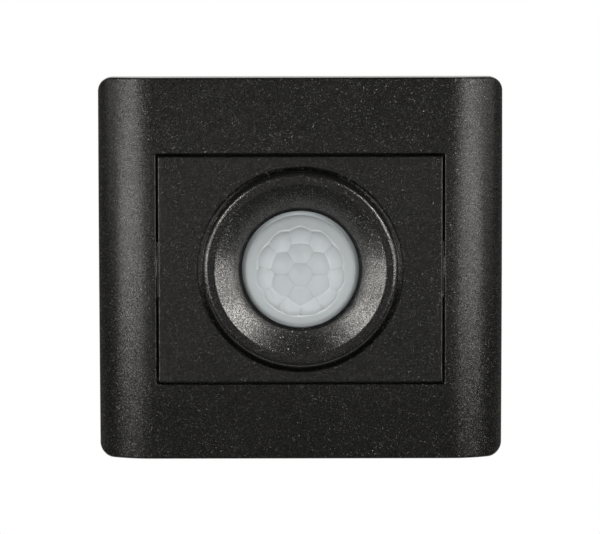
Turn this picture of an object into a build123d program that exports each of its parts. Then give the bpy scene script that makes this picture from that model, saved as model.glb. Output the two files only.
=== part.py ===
from build123d import *

import math
import os

# Motion sensor light switch for a wall box, built as it comes apart on a bench.
# It is drawn lying on its back: X to the right, Y up the wall, Z out of the wall, with the wall at Z = 0.
# Each piece is turned upright when it is written, so that the front faces -Y and up is +Z.
# All lengths are millimetres and all angles are degrees.

# Driving dimensions: the face plate
plate_width = 91.0
plate_height = 86.0
plate_depth = 8.5
plate_wall = 1.8
plate_corner = 3.2
plate_crown = 1.2
side_roll_width = 12.0
side_roll_angle = 50.0

# Driving dimensions: the opening and the panel in it
opening_width = 64.7
opening_height = 51.8
panel_gap = 0.45
panel_wall = 1.8

# Driving dimensions: the rim, the dish and the lens
rim_radius = 22.05
rim_height = 1.7
rim_land = 2.8
dish_depth = 2.2
lens_radius = 12.7
lens_wall = 0.8

# Driving dimensions: the part in the wall box
box_screw_spacing = 60.3
box_screw_size = 4.0
frame_side_inset = 5.5
frame_end_inset = 5.0
frame_thickness = 2.0
housing_width = 48.0
housing_inset = 2.4
housing_depth = 26.0
housing_wall = 1.6
board_thickness = 1.6
terminal_pitch = 13.0

# Fits: a sliding piece, a piece that is only placed, and a screw in its hole
slide_clearance = 0.1
place_clearance = 0.15
thread_clearance = 0.05
# Every cut runs this far past the face it opens
overrun = 1.0

housing_height = opening_height - 2 * housing_inset

os.makedirs("parts", exist_ok=True)
upright = Rotation(90, 0, 0)
turned_over = Rotation(180, 0, 0)
along_x = Rotation(0, 90, 0)
along_y = Rotation(90, 0, 0)


def block(x_low, x_high, y_low, y_high, z_low, z_high):
    """A box between six planes; each pair may come in either order."""
    size = (abs(x_high - x_low), abs(y_high - y_low), abs(z_high - z_low))
    middle = ((x_low + x_high) / 2, (y_low + y_high) / 2, (z_low + z_high) / 2)
    return Pos(*middle) * Box(*size)


def centred_block(width, height, z_low, z_high, x=0, y=0):
    """A box about the point x, y."""
    return block(x - width / 2, x + width / 2, y - height / 2, y + height / 2, z_low, z_high)


def disc(radius, z_low, z_high, x=0, y=0):
    """A cylinder that stands along Z."""
    return Pos(x, y, (z_low + z_high) / 2) * Cylinder(radius, z_high - z_low)


def rounded_block(width, height, corner, z_low, z_high):
    """A box about the origin with its four upright corners rounded."""
    return Pos(0, 0, z_low) * extrude(RectangleRounded(width, height, corner), z_high - z_low)


def turned(points):
    """A solid of revolution about Z from a closed outline of straight runs, given as radius and height."""
    return revolve(make_face(Polyline(*[(r, 0, z) for r, z in points], close=True)), Axis.Z)


def in_four(shape):
    """The shape, and its mirror images left to right and top to bottom."""
    pair = [shape, mirror(shape, about=Plane.YZ)]
    return pair + [mirror(one, about=Plane.XZ) for one in pair]


def in_two(shape):
    """The shape, and its mirror image left to right."""
    return [shape, mirror(shape, about=Plane.YZ)]


def write(node, *shapes):
    """Writes one node: the pieces are turned upright and saved under the node's name."""
    solids = [solid for shape in shapes for solid in (upright * shape).solids()]
    export_step(solids[0] if len(solids) == 1 else Compound(solids), f"parts/{node}.step")


# Face plate: a snap-on moulding, with its left and right sides rolled back to the wall
# Its front is crowned, so that its top and bottom lie a little nearer to the wall than its middle
plate_edge_round = 0.45
opening_corner = 0.4
opening_edge_round = 0.3
lip_wall = 1.2
lip_bottom = 4.2
rib_thickness = 1.0
band_rib_x = 12.5
side_rib_y = 15.0
hook_inset = 2.8
hook_side_gap = 1.5
hook_width = 6.0
hook_thickness = 1.4
hook_barb = 0.5
hook_barb_height = 1.0
hook_tip = 0.4
roll_radius = side_roll_width / math.sin(math.radians(side_roll_angle))
roll_drop = roll_radius * (1 - math.cos(math.radians(side_roll_angle)))
crown_radius = (plate_height**2 / 4 + plate_crown**2) / (2 * plate_crown)
section_bottom = -plate_crown - overrun
crown_inner_radius = crown_radius - plate_depth + section_bottom
crown_half_turn = math.degrees(math.asin((plate_height / 2 + overrun) / crown_inner_radius))
plate_underside = plate_depth - plate_wall
frame_width = plate_width - 2 * frame_side_inset
frame_height = plate_height - 2 * frame_end_inset
flange_lap = 1.6
flange_width = housing_width + 2 * flange_lap
hook_x = flange_width / 2 + hook_side_gap + hook_width / 2
hook_y = frame_height / 2 - hook_inset
box_screw_head_radius = 4.4
box_screw_head_height = 3.1


def screw_head_room():
    """The space that the heads of the two wall box screws take up, in front of the support frame."""
    high = frame_thickness + box_screw_head_height
    return in_two(disc(box_screw_head_radius, frame_thickness, high, box_screw_spacing / 2))


def plate_section(inset):
    """The plate's outline across its width, flat between two rolled sides, or the same moved in by inset."""
    half = plate_width / 2 - inset
    flat = plate_width / 2 - side_roll_width
    front = plate_depth - inset
    radius = roll_radius - inset
    centre = plate_depth - roll_radius
    turn = math.asin((half - flat) / radius)
    mid_x = flat + radius * math.sin(turn / 2)
    mid_z = centre + radius * math.cos(turn / 2)
    edge = centre + radius * math.cos(turn)
    right = ThreePointArc((flat, 0, front), (mid_x, 0, mid_z), (half, 0, edge))
    left = ThreePointArc((-half, 0, edge), (-mid_x, 0, mid_z), (-flat, 0, front))
    top = Line((-flat, 0, front), (flat, 0, front))
    sides = Polyline((half, 0, edge), (half, 0, section_bottom), (-half, 0, section_bottom), (-half, 0, edge))
    return make_face([left, top, right, sides])


def crowned(inset):
    """The plate's outline swung past both its ends, about an axis far behind it."""
    axis = Axis((0, 0, plate_depth - crown_radius), (1, 0, 0))
    return revolve(plate_section(inset).rotate(axis, -crown_half_turn), axis, 2 * crown_half_turn)


def snap_hook(x, y, thickness_along, width):
    """A straight hook behind a moulding, thin along X or Y, with an outward catch at its tip."""
    reach = hook_thickness / 2 + hook_barb
    stem_low, stem_high = hook_tip, plate_underside + slide_clearance
    catch_high = hook_tip + hook_barb_height
    if thickness_along == "X":
        stem = centred_block(hook_thickness, width, stem_low, stem_high, x, y)
        catch = block(x, x + reach, y - width / 2, y + width / 2, stem_low, catch_high)
    else:
        stem = centred_block(width, hook_thickness, stem_low, stem_high, x, y)
        catch = block(x - width / 2, x + width / 2, y, y + reach, stem_low, catch_high)
    return stem + catch


def face_plate():
    flat = plate_width / 2 - side_roll_width
    body = crowned(0) & rounded_block(plate_width, plate_height, plate_corner, 0, plate_depth + overrun)
    lowest_brink = (plate_depth - roll_drop - plate_crown) / 2
    rim = [
        edge
        for edge in body.edges()
        if edge.bounding_box().min.Z > lowest_brink
        and not (abs(abs(edge.center().X) - flat) < slide_clearance and abs(edge.center().Y) < overrun)
    ]
    body = fillet(rim, plate_edge_round)
    inner_width, inner_height = plate_width - 2 * plate_wall, plate_height - 2 * plate_wall
    inner_corner = plate_corner - plate_wall
    inside = rounded_block(inner_width, inner_height, inner_corner, -overrun, plate_depth)
    body -= crowned(plate_wall) & inside
    lip_width, lip_height = opening_width + 2 * lip_wall, opening_height + 2 * lip_wall
    body += centred_block(lip_width, lip_height, lip_bottom, plate_depth - plate_wall / 2)
    rib_reach = plate_height / 2 - plate_wall / 2
    band = block(
        band_rib_x - rib_thickness / 2,
        band_rib_x + rib_thickness / 2,
        lip_height / 2 - lip_wall / 2,
        rib_reach,
        lip_bottom,
        plate_depth,
    )
    side = block(
        lip_width / 2 - lip_wall / 2,
        plate_width / 2,
        side_rib_y - rib_thickness / 2,
        side_rib_y + rib_thickness / 2,
        lip_bottom,
        plate_depth,
    )
    under_skin = crowned(plate_wall / 2)
    body += in_four(band & under_skin) + in_four(side & under_skin)
    body += in_four(snap_hook(hook_x, hook_y, "Y", hook_width))
    body -= screw_head_room()
    opening = rounded_block(opening_width, opening_height, opening_corner, 0, plate_depth + overrun)
    body -= opening
    mouth = [
        edge
        for edge in body.edges().filter_by_position(Axis.Z, plate_depth - plate_crown, plate_depth)
        if abs(edge.center().X) < opening_width / 2 + thread_clearance
        and abs(edge.center().Y) < opening_height / 2 + thread_clearance
        and edge.length < opening_width
    ]
    return fillet(mouth, opening_edge_round)


# Centre panel: a flush cover with a raised round rim that falls into a dish round the lens
panel_width = opening_width - 2 * panel_gap
panel_height = opening_height - 2 * panel_gap
panel_corner = 0.4
panel_edge_round = 0.3
panel_skirt_wall = 1.4
panel_skirt_bottom = 4.6
tab_width = 12.6
tab_drop = 0.3
tab_bottom = 5.2
rim_round = 1.3
rim_foot_round = 0.3
dish_edge_round = 0.2
dish_wall = 1.6
lens_gap = 0.45
lens_flange_reach = 1.75
lens_flange_thickness = 0.9
lens_seat_land = 0.7
lens_hole_wall = 1.2
retainer_thickness = 1.0
stake_count = 3
stake_radius = 0.8
stake_reach = 2.0
stake_root = 1.6
stake_head_radius = 1.3
stake_head_height = 0.5
panel_hook_inset = 3.3
panel_hook_y = 17.0
panel_hook_width = 5.0
dish_radius = rim_radius - rim_land
lens_hole_radius = lens_radius + lens_gap
lens_flange_radius = lens_hole_radius + lens_flange_reach
stake_circle = lens_flange_radius + stake_reach
rim_top = plate_depth + rim_height
dish_bottom = rim_top - dish_depth
lens_seat_height = dish_bottom - lens_hole_wall
retainer_bottom = lens_seat_height - lens_flange_thickness - retainer_thickness
panel_hook_x = panel_width / 2 - panel_hook_inset
panel_underside = plate_depth - panel_wall


def dish_section():
    """Half of the rim and dish, cut through the lens axis: round wall, flat rim, sloping dish, lens hole."""
    base = rim_radius + rim_foot_round
    shoulder = rim_radius - rim_round
    foot_top = plate_depth + rim_foot_round
    foot_turn = rim_foot_round / math.sqrt(2)
    round_turn = rim_round / math.sqrt(2)
    foot_mid = (base - foot_turn, 0, foot_top - foot_turn)
    round_mid = (shoulder + round_turn, 0, rim_top - rim_round + round_turn)
    under_rim = rim_top - dish_wall
    seat_edge = lens_flange_radius + lens_seat_land
    return make_face(
        [
            Line((base, 0, panel_underside), (base, 0, plate_depth)),
            ThreePointArc((base, 0, plate_depth), foot_mid, (rim_radius, 0, foot_top)),
            Line((rim_radius, 0, foot_top), (rim_radius, 0, rim_top - rim_round)),
            ThreePointArc((rim_radius, 0, rim_top - rim_round), round_mid, (shoulder, 0, rim_top)),
            Line((shoulder, 0, rim_top), (dish_radius, 0, rim_top)),
            Line((dish_radius, 0, rim_top), (lens_hole_radius, 0, dish_bottom)),
            Line((lens_hole_radius, 0, dish_bottom), (lens_hole_radius, 0, lens_seat_height)),
            Line((lens_hole_radius, 0, lens_seat_height), (seat_edge, 0, lens_seat_height)),
            Line((seat_edge, 0, lens_seat_height), (dish_radius, 0, under_rim)),
            Line((dish_radius, 0, under_rim), (rim_radius - dish_wall, 0, under_rim)),
            Line((rim_radius - dish_wall, 0, under_rim), (rim_radius - dish_wall, 0, panel_underside)),
            Line((rim_radius - dish_wall, 0, panel_underside), (base, 0, panel_underside)),
        ]
    )


def stake_places():
    """The places of the pins that hold the lens retainer, evenly round the lens."""
    step = 2 * math.pi / stake_count
    return [
        (stake_circle * math.cos(math.pi / 2 + i * step), stake_circle * math.sin(math.pi / 2 + i * step))
        for i in range(stake_count)
    ]


def center_panel():
    body = rounded_block(panel_width, panel_height, panel_corner, panel_skirt_bottom, plate_depth)
    body = fillet(body.faces().sort_by(Axis.Z)[-1].edges(), panel_edge_round)
    hollow_width = panel_width - 2 * panel_skirt_wall
    hollow_height = panel_height - 2 * panel_skirt_wall
    body -= centred_block(hollow_width, hollow_height, 0, panel_underside)
    tab_reach = panel_width / 2 + panel_gap - slide_clearance
    tab_top = plate_depth - tab_drop
    tab = block(panel_width / 2 - overrun, tab_reach, -tab_width / 2, tab_width / 2, tab_bottom, tab_top)
    body += in_two(tab)
    body += in_four(snap_hook(panel_hook_x, panel_hook_y, "X", panel_hook_width))
    body -= screw_head_room()
    body -= disc(rim_radius + rim_foot_round, 0, rim_top)
    dish = revolve(dish_section(), Axis.Z)
    brinks = []
    for radius, height in ((dish_radius, rim_top), (lens_hole_radius, dish_bottom)):
        circles = dish.edges().filter_by(GeomType.CIRCLE)
        circles = circles.filter_by_position(Axis.Z, height - thread_clearance, height + thread_clearance)
        brinks += [edge for edge in circles if abs(edge.radius - radius) < thread_clearance]
    body += fillet(brinks, dish_edge_round)
    for x, y in stake_places():
        body += disc(stake_radius, retainer_bottom, lens_seat_height + stake_root, x, y)
        body += disc(stake_head_radius, retainer_bottom - stake_head_height, retainer_bottom, x, y)
    return body


# Fresnel lens: a thin milky dome with a flange, moulded as one centre lenslet, six round it and eleven more
lenslet_rings = ((1, 0.0), (6, 24.0), (11, 41.5))
lenslet_radius = 7.5
lenslet_floor = 0.42
zigzag_outer_angle = 56.0
zigzag_inner_angle = 50.5
cone_low_share = 0.2
cone_high_share = 1.2
upright_lean = 0.9
lens_centre_drop = 0.2
lens_centre_height = dish_bottom - lens_centre_drop
lens_skirt_bottom = lens_seat_height - lens_flange_thickness


def lenslet_directions():
    """Unit vectors from the dome's centre to the middle of each lenslet, ring by ring, from the top round."""
    directions = []
    for count, angle in lenslet_rings:
        tilt = math.radians(angle)
        for i in range(count):
            turn = math.pi / 2 - 2 * math.pi * i / count
            flat = math.sin(tilt)
            directions.append(Vector(flat * math.cos(turn), flat * math.sin(turn), math.cos(tilt)))
    return directions


def zigzag_cone():
    """A many-sided cone from the dome's centre whose outline is the zigzag edge round the outer lenslets."""
    sides = lenslet_rings[-1][0]
    low, high = lens_radius * cone_low_share, lens_radius * cone_high_share
    rings = []
    for height in (low, high):
        points = []
        for i in range(2 * sides):
            angle = zigzag_outer_angle if i % 2 == 0 else zigzag_inner_angle
            turn = math.pi / 2 - math.pi * i / sides
            reach = height * math.tan(math.radians(angle))
            points.append((reach * math.cos(turn), reach * math.sin(turn), lens_centre_height + height))
        rings.append(make_face(Polyline(*points, close=True)))
    return loft(rings, ruled=True)


def fresnel_lens():
    centre = Pos(0, 0, lens_centre_height)
    upper = disc(2 * lens_radius, lens_centre_height, lens_centre_height + 2 * lens_radius)
    cone = zigzag_cone()
    dome = (centre * Sphere(lens_radius)) & upper
    facets = centre * Sphere(lens_radius - lenslet_floor)
    for way in lenslet_directions():
        middle = way * (lens_radius - lenslet_radius) + Vector(0, 0, lens_centre_height)
        side = way.cross(Vector(0, 1, 0)).normalized() if abs(way.Y) < upright_lean else Vector(0, 0, 1)
        facets += Plane(origin=middle, x_dir=-way, z_dir=side) * Sphere(lenslet_radius)
    dome = (dome - cone) + (facets & cone)
    skirt = turned(
        [
            (0, lens_centre_height),
            (lens_radius, lens_centre_height),
            (lens_radius, lens_seat_height),
            (lens_flange_radius, lens_seat_height),
            (lens_flange_radius, lens_skirt_bottom),
            (0, lens_skirt_bottom),
        ]
    )
    inside = (centre * Sphere(lens_radius - lens_wall)) & upper
    inside += disc(lens_radius - lens_wall, lens_skirt_bottom - overrun, lens_centre_height)
    return dome + skirt - inside


# Lens retainer: a flat ring behind the lens flange, held by pins that are melted over it
retainer_bore = lens_radius - 1.1
retainer_radius = lens_flange_radius + 0.2
ear_radius = 2.0


def lens_retainer():
    top = lens_skirt_bottom
    bottom = top - retainer_thickness
    ring = disc(retainer_radius, bottom, top)
    for x, y in stake_places():
        ring += disc(ear_radius, bottom, top, x, y)
    ring -= disc(retainer_bore, bottom - overrun, top + overrun)
    for x, y in stake_places():
        ring -= disc(stake_radius + thread_clearance, bottom - overrun, top + overrun, x, y)
    return ring


# Support frame: the moulded plate that is screwed to the wall box and carries everything else
frame_corner = 3.0
frame_rim_wall = 1.2
frame_rim_height = 1.4
frame_slot_length = 8.0
frame_slot_width = box_screw_size + 0.4
hook_window_side = 1.0
flange_thickness = 1.4
flange_reach = 4.7
flange_height = opening_height + 2 * (lip_wall + flange_reach)
flange_top = frame_thickness + flange_thickness
housing_screw_x = 18.0
housing_screw_y = (opening_height + flange_height) / 4 + lip_wall / 2
housing_screw_radius = 1.1
housing_screw_head_radius = 1.9
housing_screw_head_height = 1.3
window_gap = 0.3


def support_frame():
    body = rounded_block(frame_width, frame_height, frame_corner, 0, frame_thickness + frame_rim_height)
    inner_width, inner_height = frame_width - 2 * frame_rim_wall, frame_height - 2 * frame_rim_wall
    rim_top_cut = frame_thickness + frame_rim_height + overrun
    inner_corner = frame_corner - frame_rim_wall
    body -= rounded_block(inner_width, inner_height, inner_corner, frame_thickness, rim_top_cut)
    body -= rounded_block(
        housing_width + 2 * window_gap, housing_height + 2 * window_gap, frame_corner, -overrun, rim_top_cut
    )
    slot = SlotOverall(frame_slot_length, frame_slot_width)
    slot_cut = Pos(box_screw_spacing / 2, 0, -overrun) * extrude(slot, frame_thickness + 2 * overrun)
    body -= in_two(slot_cut)
    catch = hook_thickness / 2 + hook_barb + slide_clearance
    back = hook_thickness / 2 + hook_window_side
    hook_half = hook_width / 2 + hook_window_side / 2
    body -= in_four(
        block(hook_x - hook_half, hook_x + hook_half, hook_y - back, hook_y + catch, -overrun, rim_top_cut)
    )
    panel_half = panel_hook_width / 2 + hook_window_side / 2
    body -= in_four(
        block(
            panel_hook_x - back,
            panel_hook_x + catch,
            panel_hook_y - panel_half,
            panel_hook_y + panel_half,
            -overrun,
            rim_top_cut,
        )
    )
    screw_hole = disc(
        housing_screw_radius + thread_clearance, -overrun, rim_top_cut, housing_screw_x, housing_screw_y
    )
    body -= in_four(screw_hole)
    return body


# Back housing: the insulating box in the wall, open to the front and notched at its foot for the terminals
housing_corner = 3.0
housing_back = -housing_depth
terminal_count = 3
terminal_side_width = 12.8
terminal_block_width = (terminal_count - 1) * terminal_pitch + terminal_side_width
terminal_block_height = 10.5
terminal_block_depth = 17.6
terminal_block_top = terminal_block_height - housing_height / 2
terminal_block_front = housing_back + terminal_block_depth
sensor_board_top = 1.2
sensor_board_bottom = sensor_board_top - board_thickness
rail_reach = 1.8
rail_width = 2.0
rail_y = 12.0
corner_block_width = 5.4
corner_block_height = 5.4
corner_block_depth = 2.8
cover_screw_side_inset = 5.4
cover_screw_end_inset = 5.2
cover_screw_x = housing_width / 2 - cover_screw_side_inset
cover_screw_y = housing_height / 2 - cover_screw_end_inset
cover_screw_radius = 0.95
cover_screw_head_radius = 1.9
cover_screw_head_height = 1.1
post_height = 4.0
main_board_bottom = housing_back + housing_wall + post_height
main_board_top = main_board_bottom + board_thickness
post_side_inset = 5.8
post_end_inset = 3.9
post_rise = 4.8
post_x = housing_width / 2 - post_side_inset
post_radius = 1.7
post_low_y = terminal_block_top + post_rise
post_high_y = housing_height / 2 - post_end_inset
post_tip_radius = 0.7
post_tip_height = 2.2
board_screw_radius = 0.85
board_screw_head_radius = 1.6
board_screw_head_height = 1.0
board_screw_length = 4.6
strip_gauge_length = 9.0
strip_gauge_width = 1.6
strip_gauge_depth = 0.6
strip_gauge_y = 11.8


def back_housing():
    body = rounded_block(housing_width, housing_height, housing_corner, housing_back, frame_thickness)
    body = fillet(body.faces().sort_by(Axis.Z)[0].edges(), housing_wall)
    body += rounded_block(flange_width, flange_height, housing_corner, frame_thickness, flange_top)
    inner_width, inner_height = housing_width - 2 * housing_wall, housing_height - 2 * housing_wall
    floor = housing_back + housing_wall
    inner_corner = housing_corner - housing_wall
    body -= rounded_block(inner_width, inner_height, inner_corner, floor, flange_top + overrun)
    rail = block(
        inner_width / 2 - rail_reach,
        inner_width / 2 + housing_wall / 2,
        rail_y - rail_width / 2,
        rail_y + rail_width / 2,
        floor - housing_wall / 2,
        sensor_board_bottom,
    )
    body += in_four(rail)
    corner = block(
        inner_width / 2 - corner_block_width,
        inner_width / 2 + housing_wall / 2,
        inner_height / 2 - corner_block_height,
        inner_height / 2 + housing_wall / 2,
        sensor_board_bottom - corner_block_depth,
        sensor_board_bottom,
    )
    body += in_two(corner)
    screw_bottom = sensor_board_bottom - corner_block_depth - overrun
    hole = disc(cover_screw_radius + thread_clearance, screw_bottom, 0, cover_screw_x, cover_screw_y)
    body -= in_two(hole)
    low_post = disc(post_radius, floor - housing_wall / 2, main_board_bottom, post_x, post_low_y)
    high_post = disc(post_radius, floor - housing_wall / 2, main_board_bottom, post_x, post_high_y)
    high_post += disc(post_tip_radius, floor, main_board_bottom + post_tip_height, post_x, post_high_y)
    body += in_two(low_post) + in_two(high_post)
    bore_low = main_board_top - board_screw_length
    bore = disc(board_screw_radius + thread_clearance, bore_low, 0, post_x, post_low_y)
    body -= in_two(bore)
    notch_half = terminal_block_width / 2 + place_clearance
    body -= block(
        -notch_half,
        notch_half,
        -housing_height / 2 - overrun,
        terminal_block_top + place_clearance,
        housing_back - overrun,
        terminal_block_front + place_clearance,
    )
    flange_hole_low = frame_thickness - overrun
    flange_hole_high = flange_top + overrun
    flange_hole = disc(
        housing_screw_radius + thread_clearance,
        flange_hole_low,
        flange_hole_high,
        housing_screw_x,
        housing_screw_y,
    )
    body -= in_four(flange_hole)
    gauge = SlotOverall(strip_gauge_length, strip_gauge_width)
    gauge_cut = extrude(gauge, strip_gauge_depth + overrun)
    body -= Pos(0, strip_gauge_y, housing_back - overrun) * gauge_cut
    return body


# Module cover: closes the housing under the panel, with a well for the lens and holes for the two dials
cover_thickness = 1.2
cover_side_gap = 0.3
cover_corner = 2.6
well_gap = 0.4
well_floor_top = 3.3
cover_bottom = flange_top
cover_top = cover_bottom + cover_thickness
well_radius = stake_circle + ear_radius + well_gap
trimmer_side = 6.2
trimmer_corner = 0.62
trimmer_gap = 0.25
trimmer_reach = (trimmer_side - trimmer_corner) / math.sqrt(2) + trimmer_corner / math.sqrt(8)
dial_place = (well_radius + cover_thickness + trimmer_gap + trimmer_reach) / math.sqrt(2)
dial_radius = 3.3
dial_gap = 0.3
tick_count = 7
tick_length = 0.7
tick_width = 0.35
tick_depth = 0.3
dial_sweep = 270.0
can_radius = 4.1
can_base_radius = 4.6
can_gap = 0.3
light_sensor_radius = 2.1
light_sensor_side_share = 0.86
led_radius = 1.5
led_flange_radius = 1.75
light_sensor_x = -(can_base_radius + can_gap + light_sensor_radius * light_sensor_side_share)
led_x = can_base_radius + can_gap + led_flange_radius
spacer_radius = 1.9


def dial_ticks(x, y):
    """Short marks in the cover round a dial, over its sweep."""
    marks = []
    for i in range(tick_count):
        turn = math.pi / 2 + math.radians(dial_sweep / 2 - dial_sweep * i / (tick_count - 1))
        reach = dial_radius + dial_gap + tick_length
        mark = Box(tick_length, tick_width, 2 * tick_depth)
        place = Pos(x + reach * math.cos(turn), y + reach * math.sin(turn), cover_top)
        marks.append(place * Rotation(0, 0, math.degrees(turn)) * mark)
    return marks


def module_cover():
    width, height = housing_width - 2 * cover_side_gap, housing_height - 2 * cover_side_gap
    body = rounded_block(width, height, cover_corner, cover_bottom, cover_top)
    body += disc(well_radius + cover_thickness, well_floor_top - cover_thickness, cover_top)
    for x in (-cover_screw_x, cover_screw_x):
        body += disc(spacer_radius, sensor_board_top, cover_top, x, cover_screw_y)
    body -= disc(well_radius, well_floor_top, cover_top + overrun)
    for x in (-cover_screw_x, cover_screw_x):
        hole_radius = cover_screw_radius + thread_clearance
        body -= disc(hole_radius, sensor_board_top - overrun, cover_top + overrun, x, cover_screw_y)
    for x in (-dial_place, dial_place):
        body -= disc(dial_radius + dial_gap, 0, cover_top + overrun, x, -dial_place)
        body -= dial_ticks(x, -dial_place)
    body -= disc(can_radius + can_gap, 0, cover_top)
    body -= disc(light_sensor_radius + can_gap, 0, cover_top, light_sensor_x)
    body -= disc(led_radius + can_gap, 0, cover_top, led_x)
    return body


# Screws: pan heads with a cross recess, plain shanks
recess_width_share = 0.24
recess_reach_share = 1.15
recess_depth_share = 0.55
head_round_share = 0.35


def screw(head_radius, head_height, shank_radius, seat, length, x, y, to_front=True):
    """A pan-head screw whose head sits on seat, to the front of it or to the back."""
    head = disc(head_radius, 0, head_height)
    head = fillet(head.edges().sort_by(Axis.Z)[-1], head_height * head_round_share)
    depth = head_height * recess_depth_share
    reach, width = head_radius * recess_reach_share, head_radius * recess_width_share
    for long_side, short_side in ((reach, width), (width, reach)):
        head -= centred_block(long_side, short_side, head_height - depth, head_height + overrun)
    body = head + disc(shank_radius, -length, 0)
    return Pos(x, y, seat) * (body if to_front else turned_over * body)


def housing_screws():
    length = flange_top - thread_clearance
    one = screw(
        housing_screw_head_radius,
        housing_screw_head_height,
        housing_screw_radius,
        flange_top,
        length,
        housing_screw_x,
        housing_screw_y,
    )
    return in_four(one)


def cover_screws():
    length = cover_top - sensor_board_bottom + corner_block_depth - thread_clearance
    head = (cover_screw_head_radius, cover_screw_head_height)
    one = screw(*head, cover_screw_radius, cover_top, length, cover_screw_x, cover_screw_y)
    return in_two(one)


def board_screws():
    head = (board_screw_head_radius, board_screw_head_height)
    length = board_screw_length - thread_clearance
    return in_two(screw(*head, board_screw_radius, main_board_top, length, post_x, post_low_y))


# Circuit boards: the sensor board behind the lens, and the power board at the back of the housing
board_side_gap = 0.5
main_board_side_gap = 0.4
main_board_rise = 1.6
main_board_low = terminal_block_top + main_board_rise
pin_hole_gap = 0.15


def sensor_board():
    width = housing_width - 2 * housing_wall - 2 * board_side_gap
    height = housing_height - 2 * housing_wall - 2 * board_side_gap
    body = centred_block(width, height, sensor_board_bottom, sensor_board_top)
    for x in (-cover_screw_x, cover_screw_x):
        hole_radius = cover_screw_radius + pin_hole_gap
        body -= disc(hole_radius, sensor_board_bottom - overrun, sensor_board_top + overrun, x, cover_screw_y)
    holes = [(x, y, pir_lead_radius) for x, y in pir_lead_places()]
    holes += [(x, y, sensor_lead_radius) for x in (light_sensor_x, led_x) for y in sensor_lead_ys]
    for x, y, radius in holes:
        body -= disc(radius + pin_hole_gap, sensor_board_bottom - overrun, sensor_board_top + overrun, x, y)
    return body


def main_board():
    half = housing_width / 2 - housing_wall - rail_reach - main_board_side_gap / 2
    top = housing_height / 2 - housing_wall - main_board_side_gap
    body = block(-half, half, main_board_low, top, main_board_bottom, main_board_top)
    low, high = main_board_bottom - overrun, main_board_top + overrun
    for x in (-post_x, post_x):
        body -= disc(board_screw_radius + pin_hole_gap, low, high, x, post_low_y)
        body -= disc(post_tip_radius + pin_hole_gap, low, high, x, post_high_y)
    for x in terminal_places():
        body -= centred_block(
            bar_leg_width + 2 * pin_hole_gap, bar_thickness + 2 * pin_hole_gap, low, high, x, bar_leg_y
        )
    for x, y in relay_pin_places():
        body -= disc(relay_pin_radius + pin_hole_gap, low, high, x, y)
    for y in link_pin_places():
        side = link_pin_width + pin_hole_gap
        body -= centred_block(side, side, low, high, link_x, y)
    return body


# PIR sensor: a metal can on a header with three leads, with a dark window in its lid
can_base_thickness = 0.5
can_standoff = 0.2
can_top = 5.5
can_wall = 0.3
pir_window_width = 4.0
pir_window_height = 3.0
pir_window_thickness = 0.25
pir_lead_radius = 0.22
pir_lead_circle = 2.54
pir_lead_angles = (45, 135, 225)
pir_lead_tail = 0.9


def pir_lead_places():
    """Three leads at quarter turns round the can's axis."""
    return [
        (pir_lead_circle * math.cos(math.radians(a)), pir_lead_circle * math.sin(math.radians(a)))
        for a in pir_lead_angles
    ]


def pir_base():
    low = sensor_board_top + can_standoff
    body = disc(can_base_radius, low, low + can_base_thickness)
    for x, y in pir_lead_places():
        body += disc(pir_lead_radius, sensor_board_bottom - pir_lead_tail, low + can_base_thickness / 2, x, y)
    return body


def pir_can():
    low = sensor_board_top + can_standoff + can_base_thickness
    body = fillet(disc(can_radius, low, can_top).edges().sort_by(Axis.Z)[-1], can_wall)
    body -= disc(can_radius - can_wall, low - overrun, can_top - can_wall)
    body -= centred_block(pir_window_width, pir_window_height, low, can_top + overrun)
    return body


def pir_window():
    reach = can_wall
    high = can_top - can_wall
    width, height = pir_window_width + 2 * reach, pir_window_height + 2 * reach
    return centred_block(width, height, high - pir_window_thickness, high)


# Light sensor and status light: both stand on their leads beside the can and look out through the lens
light_sensor_top = 5.0
light_sensor_thickness = 1.9
sensor_lead_radius = 0.25
sensor_lead_pitch = 2.54
sensor_lead_tail = 0.8
sensor_lead_ys = (-sensor_lead_pitch / 2, sensor_lead_pitch / 2)
led_top = 5.4
led_flange_thickness = 0.9
led_flange_bottom = 1.4


def light_sensor():
    low = light_sensor_top - light_sensor_thickness
    body = disc(light_sensor_radius, low, light_sensor_top, light_sensor_x)
    side = 2 * light_sensor_radius * light_sensor_side_share
    body &= centred_block(side, 2 * light_sensor_radius, low, light_sensor_top, light_sensor_x)
    lead_low = sensor_board_bottom - sensor_lead_tail
    for y in sensor_lead_ys:
        body += disc(sensor_lead_radius, lead_low, low + sensor_lead_radius, light_sensor_x, y)
    return body


def status_led():
    round_middle = led_top - led_radius
    body = disc(led_flange_radius, led_flange_bottom, led_flange_bottom + led_flange_thickness, led_x)
    body += disc(led_radius, led_flange_bottom, round_middle, led_x)
    body += Pos(led_x, 0, round_middle) * Sphere(led_radius)
    return body


def led_leads():
    low = sensor_board_bottom - sensor_lead_tail
    return [disc(sensor_lead_radius, low, led_flange_bottom, led_x, y) for y in sensor_lead_ys]


# Trimmers: square bases on the sensor board, each with a dial that is turned with a screwdriver
trimmer_top = 3.1
trimmer_bore_radius = 1.6
trimmer_floor = 0.5
dial_bottom = 3.5
dial_top = 5.3
dial_slot_width = 0.8
dial_slot_depth = 0.8
dial_slot_reach_share = 0.75
dial_edge_round = 0.35
pointer_turn = 45


def trimmer(x):
    body = centred_block(trimmer_side, trimmer_side, sensor_board_top, trimmer_top, x, -dial_place)
    body = chamfer(body.edges().filter_by(Axis.Z), trimmer_corner)
    floor = sensor_board_top + trimmer_floor
    return body - disc(trimmer_bore_radius, floor, trimmer_top + overrun, x, -dial_place)


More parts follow.
